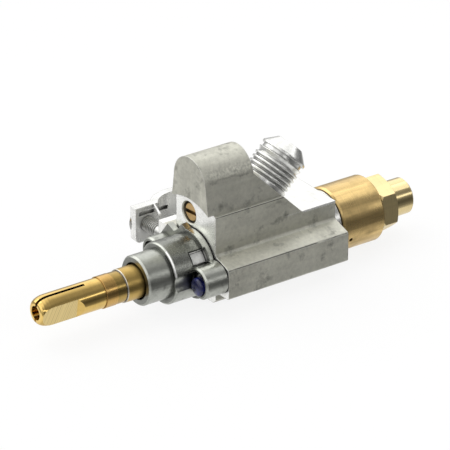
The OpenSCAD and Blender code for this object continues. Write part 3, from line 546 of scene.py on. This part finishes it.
def spring_tree(name):
    """A coil about Y: a round wire swept along a helix that lies flat at both ends."""
    tree = bpy.data.node_groups.new(name, "GeometryNodeTree")
    for socket, value in (("Radius", 0.005), ("Wire", 0.0003), ("Length", 0.006),
                          ("Turns", 5.0), ("Start", 0.0)):
        item = tree.interface.new_socket(socket, in_out="INPUT", socket_type="NodeSocketFloat")
        item.default_value = value
    tree.interface.new_socket("Material", in_out="INPUT", socket_type="NodeSocketMaterial")
    tree.interface.new_socket("Geometry", in_out="OUTPUT", socket_type="NodeSocketGeometry")
    n = Nodes(tree)
    given = n.add("NodeGroupInput").outputs
    count = 260
    line = n.add("GeometryNodeCurvePrimitiveLine").outputs["Curve"]
    steps = n.add("GeometryNodeResampleCurve", {"Curve": line, "Count": count}).outputs["Curve"]
    along = n.add("GeometryNodeSplineParameter").outputs["Factor"]
    angle = n.math("MULTIPLY", n.math("MULTIPLY", along, given["Turns"]), 2 * math.pi)
    # The first and the last tenth of the wire don't rise
    rise = n.ramp(along, 0.1, 0.9)
    room = n.math("SUBTRACT", given["Length"], n.math("MULTIPLY", given["Wire"], 2.0))
    height = n.math("ADD", n.math("ADD", given["Start"], given["Wire"]),
                    n.math("MULTIPLY", rise, room))
    spot = n.add("ShaderNodeCombineXYZ", {
        "X": n.math("MULTIPLY", n.math("COSINE", angle), given["Radius"]),
        "Y": height,
        "Z": n.math("MULTIPLY", n.math("SINE", angle), given["Radius"])}).outputs["Vector"]
    placed = n.add("GeometryNodeSetPosition", {"Geometry": steps, "Position": spot})
    ring = n.add("GeometryNodeCurvePrimitiveCircle", {"Resolution": 12,
                                                      "Radius": given["Wire"]})
    tube = n.add("GeometryNodeCurveToMesh", {"Curve": placed.outputs["Geometry"],
                                             "Profile Curve": ring.outputs["Curve"],
                                             "Fill Caps": True})
    real = n.add("GeometryNodeRealizeInstances", {"Geometry": tube.outputs["Mesh"]})
    dressed = n.add("GeometryNodeSetMaterial", {"Geometry": real.outputs["Geometry"],
                                                "Material": given["Material"]})
    n.feed(n.add("NodeGroupOutput").inputs["Geometry"], dressed.outputs["Geometry"])
    return tree


def from_tree(tree, name, **values):
    """The plain mesh that a Geometry Nodes tree makes with these inputs."""
    holder = bpy.data.objects.new(name + "_holder", bpy.data.meshes.new(name + "_holder"))
    bpy.context.scene.collection.objects.link(holder)
    modifier = holder.modifiers.new("Tree", "NODES")
    modifier.node_group = tree
    for item in tree.interface.items_tree:
        if item.in_out == "INPUT" and item.name in values:
            modifier[item.identifier] = values[item.name]
    bpy.context.view_layer.update()
    evaluated = holder.evaluated_get(bpy.context.evaluated_depsgraph_get())
    mesh = bpy.data.meshes.new_from_object(evaluated)
    bpy.data.objects.remove(holder)
    mesh.name = name
    return mesh


# ---------------------------------------------------------------- settings


def length(name, description, value):
    return FloatProperty(name=name, description=description, default=value, unit="LENGTH")


def paint(name, description, value):
    return FloatVectorProperty(name=name, description=description, default=value[:3],
                               subtype="COLOR", size=3, min=0.0, max=1.0)


def share(name, description, value):
    return FloatProperty(name=name, description=description, default=value, min=0.0, max=1.0,
                         subtype="FACTOR")


def power(name, description, value):
    return FloatProperty(name=name, description=description, default=value, unit="POWER")


class MetalSettings(bpy.types.PropertyGroup):
    casting: paint("Casting", "Colour of the raw cast body", rgb(208, 207, 195))
    machined: paint("Machined faces", "Colour of the body's machined faces", rgb(250, 250, 246))
    casting_roughness: share("Casting roughness", "Roughness of the cast skin", 0.5)
    bonnet: paint("Bonnet", "Colour of the bonnet's zinc", rgb(188, 190, 182))
    bonnet_roughness: share("Bonnet roughness", "Roughness of the bonnet's skin", 0.3)
    shaft: paint("Shaft brass", "Colour of the turned shaft", (0.90, 0.62, 0.20))
    cap: paint("Cap brass", "Colour of the rear cap", (0.86, 0.62, 0.27))
    nut: paint("Nut brass", "Colour of the magnet unit's nut and the brass inside",
               (0.94, 0.76, 0.40))
    screw: paint("Screw brass", "Colour of the minimum flow screw", (0.60, 0.40, 0.17))
    zinc: paint("Plated steel", "Colour of the small steel pieces", rgb(196, 196, 192))
    clamp: paint("Clamp", "Colour of the pipe clamp's plating", rgb(246, 246, 243))
    lacquer: paint("Sealing lacquer", "Colour of the paint over the outer screw",
                   rgb(10, 14, 58))


class SpringSettings(bpy.types.PropertyGroup):
    shaft_wire: length("Shaft spring wire", "Half the thickness of the shaft spring's wire",
                       0.00035)
    shaft_turns: FloatProperty(name="Shaft spring turns",
                               description="Number of turns of the shaft's spring", default=5.0)
    valve_wire: length("Valve spring wire", "Half the thickness of the valve spring's wire",
                       0.00025)
    valve_turns: FloatProperty(name="Valve spring turns",
                               description="Number of turns of the valve's spring", default=5.5)


class StudioSettings(bpy.types.PropertyGroup):
    floor_size: length("Floor size", "Side of the square floor", 6.0)
    floor_color: paint("Floor", "Colour of the floor", rgb(250, 250, 250))
    key_power: power("Key light", "Power of the soft light overhead", 0.9)
    fill_power: power("Fill light", "Power of the light at the left", 0.35)
    side_power: power("Side light", "Power of the card at the right", 1.0)
    rear_power: power("Rear light", "Power of the small rear light", 0.03)
    focal_length: FloatProperty(name="Focal length", default=280.0, min=20.0,
                                description="Focal length of the camera, in millimetres")


# ---------------------------------------------------------------- operators


class VALVE_OT_stage(bpy.types.Operator):
    """Builds the pale floor, the soft light, the world and the photograph's camera"""
    bl_idname = "valve.stage"
    bl_label = "Studio"

    def execute(self, context):
        scene = context.scene
        studio = scene.valve_studio
        scene.view_settings.view_transform = "Standard"
        self.camera(scene, studio)
        self.world(scene)
        self.floor(scene, studio)
        self.lamp(scene, "key_light", (-0.42, -0.22, 0.62), (0, 0.03, 0), 0.5, studio.key_power)
        self.lamp(scene, "fill_light", (-0.75, -0.35, 0.35), (0, 0.02, 0.0), 0.4,
                  studio.fill_power)
        # A bounce card at the camera's right: it lifts the dull faces, and no metal shows it
        card = self.lamp(scene, "side_light", (0.7, 0.1, 0.4), (0, 0.03, 0), 0.4,
                         studio.side_power)
        card.visible_glossy = False
        self.lamp(scene, "rear_light", (0.0, 0.15, 0.13), (0, 0.07, 0.0), 0.11,
                  studio.rear_power)
        return {"FINISHED"}

    def camera(self, scene, studio):
        data = bpy.data.cameras.new("Camera")
        data.lens = studio.focal_length
        data.sensor_width = 36.0
        data.clip_start = 0.01
        camera = bpy.data.objects.new("Camera", data)
        # Worked out from the photograph's round parts and edges
        camera.location = (0.64645, -0.42962, 0.40479)
        camera.rotation_euler = Vector((-0.72985, 0.51608, -0.44829)).to_track_quat(
            "-Z", "Y").to_euler()
        scene.collection.objects.link(camera)
        scene.camera = camera

    def world(self, scene):
        world = bpy.data.worlds.new("Studio")
        scene.world = world
        world.use_nodes = True
        world.node_tree.nodes.clear()
        n = Nodes(world.node_tree)
        way = n.add("ShaderNodeTexCoord").outputs["Generated"]
        z = n.add("ShaderNodeSeparateXYZ", {"Vector": way}).outputs["Z"]
        # Bands of a light tent: pale above, a dark gap over the table, the pale table below.
        # outer, which has a bright strip over a darker gap, is seen towards +X and +Y, and
        # inner everywhere else
        outer = bands(n, z, ((-1.0, 0.75), (1.0, 0.5), (-0.86, 0.8), (-0.64, 0.75),
                             (-0.54, 0.3), (-0.45, 0.24), (-0.27, 0.13), (-0.1, 0.08), (0.1, 0.12),
                             (0.3, 0.24), (0.345, 1.5), (0.435, 1.5), (0.48, 0.3),
                             (0.62, 0.2), (0.8, 0.36), (0.9, 0.4)), -1.0, 1.0)
        inner = bands(n, z, ((-1.0, 0.6), (1.0, 1.15), (-0.6, 0.9), (-0.38, 1.0),
                             (-0.28, 0.5), (-0.1, 0.35), (0.1, 0.6), (0.3, 1.2),
                             (0.38, 1.3), (0.6, 1.25)), -1.0, 1.0)
        toward = n.vector("DOT_PRODUCT", way, (0.853, 0.522, 0.0))
        level = n.blend(n.ramp(toward, -0.15, 0.3), inner, outer)
        seen = n.add("ShaderNodeLightPath").outputs["Is Camera Ray"]
        strength = n.blend(seen, level, 1.0)
        background = n.add("ShaderNodeBackground", {"Color": (1, 1, 1, 1), "Strength": strength})
        n.feed(n.add("ShaderNodeOutputWorld").inputs["Surface"], background.outputs[0])

    def floor(self, scene, studio):
        half = studio.floor_size / 2
        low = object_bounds()[0][2]
        mesh = bpy.data.meshes.new("floor")
        mesh.from_pydata([(-half, -half, low), (half, -half, low), (half, half, low),
                          (-half, half, low)], [], [(0, 1, 2, 3)])
        floor = bpy.data.objects.new("floor", mesh)
        scene.collection.objects.link(floor)
        material = bpy.data.materials.new("Floor")
        material.use_nodes = True
        material.node_tree.nodes.clear()
        n = Nodes(material.node_tree)
        color = opaque(studio.floor_color)
        diffuse = n.add("ShaderNodeBsdfDiffuse", {"Color": color}).outputs[0]
        glow = n.add("ShaderNodeEmission", {"Color": (1, 1, 1, 1), "Strength": 1.0}).outputs[0]
        # The camera sees it almost without shadows, and reflections don't see it
        ray = n.add("ShaderNodeLightPath").outputs
        lit = n.math("MULTIPLY", ray["Is Camera Ray"], 0.86)
        clear = n.add("ShaderNodeBsdfTransparent").outputs[0]
        face = self.mixed(n, lit, diffuse, glow)
        shown = self.mixed(n, ray["Is Glossy Ray"], face, clear)
        n.feed(n.add("ShaderNodeOutputMaterial").inputs["Surface"], shown)
        mesh.materials.append(material)
        floor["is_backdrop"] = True

    def mixed(self, n, factor, first, second):
        node = n.add("ShaderNodeMixShader")
        for socket, value in zip(node.inputs, (factor, first, second)):
            n.feed(socket, value)
        return node.outputs[0]

    def lamp(self, scene, name, place, target, size, power):
        data = bpy.data.lights.new(name, "AREA")
        data.energy = power
        data.size = size
        lamp = bpy.data.objects.new(name, data)
        lamp.location = place
        lamp.rotation_euler = (Vector(target) - Vector(place)).to_track_quat(
            "-Z", "Y").to_euler()
        scene.collection.objects.link(lamp)
        return lamp


class VALVE_OT_casting(bpy.types.Operator):
    """Finishes the cast body with its machined faces"""
    bl_idname = "valve.casting"
    bl_label = "Body casting"

    def execute(self, context):
        metal = context.scene.valve_metal
        finish = casting_material("Cast alloy", opaque(metal.casting),
                                  opaque(metal.machined), metal.casting_roughness, 0.5)
        paint_nodes(finish, "body")
        return {"FINISHED"}


class VALVE_OT_bonnet(bpy.types.Operator):
    """Finishes the bonnet, and the gaskets and seals"""
    bl_idname = "valve.bonnet"
    bl_label = "Bonnet"

    def execute(self, context):
        metal = context.scene.valve_metal
        paint_nodes(bonnet_material("Bonnet zinc", opaque(metal.bonnet),
                                    metal.bonnet_roughness), "bonnet")
        paint_nodes(soft_material("Gasket rubber", rgb(24, 24, 24), 0.6),
                    "bonnet_gasket", "cap_seal", "inlet_gasket", "bypass_seal",
                    "push_rod_seal", "valve_disc")
        return {"FINISHED"}


class VALVE_OT_shaft(bpy.types.Operator):
    """Finishes the shaft with its milled flat, and the other turned brass"""
    bl_idname = "valve.shaft"
    bl_label = "Shaft"

    def execute(self, context):
        metal = context.scene.valve_metal
        angle = math.radians(FLAT_ANGLE)
        flat = ((math.cos(angle), 0.0, math.sin(angle)), FLAT_OUT, SHAFT_TIP_Y + FLAT_LENGTH)
        # tones set the brightness of the shaft's sections; the dip to 0.4 at -5.2 mm is painted
        # shade in the groove before the collar
        tones = ((SHAFT_TIP_Y, 1.0), (-11.3, 1.0), (-11.2, 0.82), (-7.75, 0.80), (-7.65, 0.6),
                 (-5.3, 0.58), (-5.2, 0.4), (-4.8, 1.0), (-4.6, 0.74), (0.0, 0.74))
        gloss = ((SHAFT_TIP_Y, 0.0), (-11.3, 0.0), (-11.2, 0.12), (-5.3, 0.1), (-4.8, 0.2),
                 (0.0, 0.3))
        paint_nodes(brass_material("Shaft brass", opaque(metal.shaft), 0.07, 0.16,
                                   flat=flat, tones=tones, gloss=gloss), "shaft")
        paint_nodes(brass_material("Plain brass", opaque(metal.nut), 0.22, 0.2),
                    "plug", "push_rod", "contact_pin")
        paint_nodes(brass_material("Screw brass", opaque(metal.screw), 0.3, 0.2),
                    "bypass_screw")
        return {"FINISHED"}


class VALVE_OT_magnet_unit(bpy.types.Operator):
    """Finishes the rear cap, the hexagon nut and the magnet unit inside"""
    bl_idname = "valve.magnet_unit"
    bl_label = "Magnet unit"

    def execute(self, context):
        metal = context.scene.valve_metal
        paint_nodes(brass_material("Cap brass", opaque(metal.cap), 0.27, 0.35,
                                   stain=0.3, edge=0.3, drawn=0.14, corner_shade=0.4), "magnet_cap")
        # The hexagon is duller than the threaded end behind it
        gloss = ((72.0, 0.2), (77.8, 0.2), (78.2, 0.0), (90.0, 0.0))
        paint_nodes(brass_material("Nut brass", opaque(metal.nut), 0.14, 0.5,
                                   stain=0.05, edge=0.15, gloss=gloss, corner_shade=0.3),
                    "magnet_nut")
        paint_nodes(plain_metal("Magnet iron", rgb(170, 172, 176), 0.3), "magnet_core",
                    "armature", "disc_holder", "magnet_housing")
        paint_nodes(soft_material("Winding lacquer", rgb(150, 78, 40), 0.35, 1500.0),
                    "magnet_coils")
        paint_nodes(soft_material("Pale insulator", rgb(214, 206, 188), 0.5),
                    "contact_insulator")
        return {"FINISHED"}


class VALVE_OT_screws(bpy.types.Operator):
    """Finishes the screws, the small steel pieces and the stop sleeve"""
    bl_idname = "valve.screws"
    bl_label = "Screws and small steel"

    def execute(self, context):
        metal = context.scene.valve_metal
        paint_nodes(plain_metal("Plated screws", opaque(metal.zinc), 0.26), "bonnet_screws",
                    "clamp_screws", "drive_pin", "spring_washer", "inlet_screen")
        # Painted reflection: the steel stop sleeve gets a white dull skin in place of the lamp its
        # glossy metal mirrors
        paint_nodes(soft_material("Stop sleeve", rgb(246, 246, 242), 0.4), "stop_sleeve")
        return {"FINISHED"}


class VALVE_OT_clamp(bpy.types.Operator):
    """Finishes the bowed clamp that holds the supply pipe"""
    bl_idname = "valve.clamp"
    bl_label = "Pipe clamp"

    def execute(self, context):
        metal = context.scene.valve_metal
        paint_nodes(clamp_material("Clamp plate", opaque(metal.clamp)), "manifold_clamp")
        return {"FINISHED"}


class VALVE_OT_lacquer(bpy.types.Operator):
    """Brushes the sealing lacquer over the outer bonnet screw"""
    bl_idname = "valve.lacquer"
    bl_label = "Sealing lacquer"

    def execute(self, context):
        metal = context.scene.valve_metal
        paint_nodes(paint_material("Sealing lacquer", opaque(metal.lacquer)),
                    "sealing_paint")
        return {"FINISHED"}


class VALVE_OT_springs(bpy.types.Operator):
    """Winds the shaft's return spring and the valve's spring"""
    bl_idname = "valve.springs"
    bl_label = "Springs"

    def execute(self, context):
        springs = context.scene.valve_springs
        wire = plain_metal("Spring wire", rgb(178, 180, 182), 0.22, 1500.0)
        tree = spring_tree("Coil spring")
        for name, node, body, half, turns, joint in (
                ("shaft_coil", "shaft_spring", "rotor", springs.shaft_wire,
                 springs.shaft_turns, "shaft_push"),
                ("valve_coil", "valve_spring", "body", springs.valve_wire,
                 springs.valve_turns, "valve_lift")):
            low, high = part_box(node)
            span = high[1] - low[1]
            mesh = from_tree(tree, name, Radius=(high[0] - low[0]) / 2 - half, Wire=half,
                             Length=span, Turns=turns, Start=low[1], Material=wire)
            mesh.shade_smooth()
            piece = new_piece(name, mesh, body, wire, node)
            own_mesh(piece)
        return {"FINISHED"}


class VALVE_PT_panel(bpy.types.Panel):
    """Lists the steps that dress the valve"""
    bl_idname = "VALVE_PT_panel"
    bl_label = "Gas valve"
    bl_space_type = "VIEW_3D"
    bl_region_type = "UI"
    bl_category = "Gas valve"

    def draw(self, context):
        scene = context.scene
        for group in (scene.valve_metal, scene.valve_springs, scene.valve_studio):
            box = self.layout.box()
            for name in group.__annotations__:
                box.prop(group, name)
        for operator in OPERATORS:
            self.layout.operator(operator.bl_idname)


OPERATORS = (VALVE_OT_stage, VALVE_OT_casting, VALVE_OT_bonnet, VALVE_OT_shaft,
             VALVE_OT_magnet_unit, VALVE_OT_screws, VALVE_OT_clamp, VALVE_OT_lacquer,
             VALVE_OT_springs)
CLASSES = (MetalSettings, SpringSettings, StudioSettings) + OPERATORS + (VALVE_PT_panel,)


def register():
    for cls in CLASSES:
        bpy.utils.register_class(cls)
    bpy.types.Scene.valve_metal = PointerProperty(type=MetalSettings)
    bpy.types.Scene.valve_springs = PointerProperty(type=SpringSettings)
    bpy.types.Scene.valve_studio = PointerProperty(type=StudioSettings)


def unregister():
    for name in ("valve_metal", "valve_springs", "valve_studio"):
        delattr(bpy.types.Scene, name)
    for cls in reversed(CLASSES):
        bpy.utils.unregister_class(cls)


def main():
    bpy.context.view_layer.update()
    register()
    for operator in OPERATORS:
        area, call = operator.bl_idname.split(".")
        getattr(getattr(bpy.ops, area), call)()


if __name__ == "__main__":
    main()
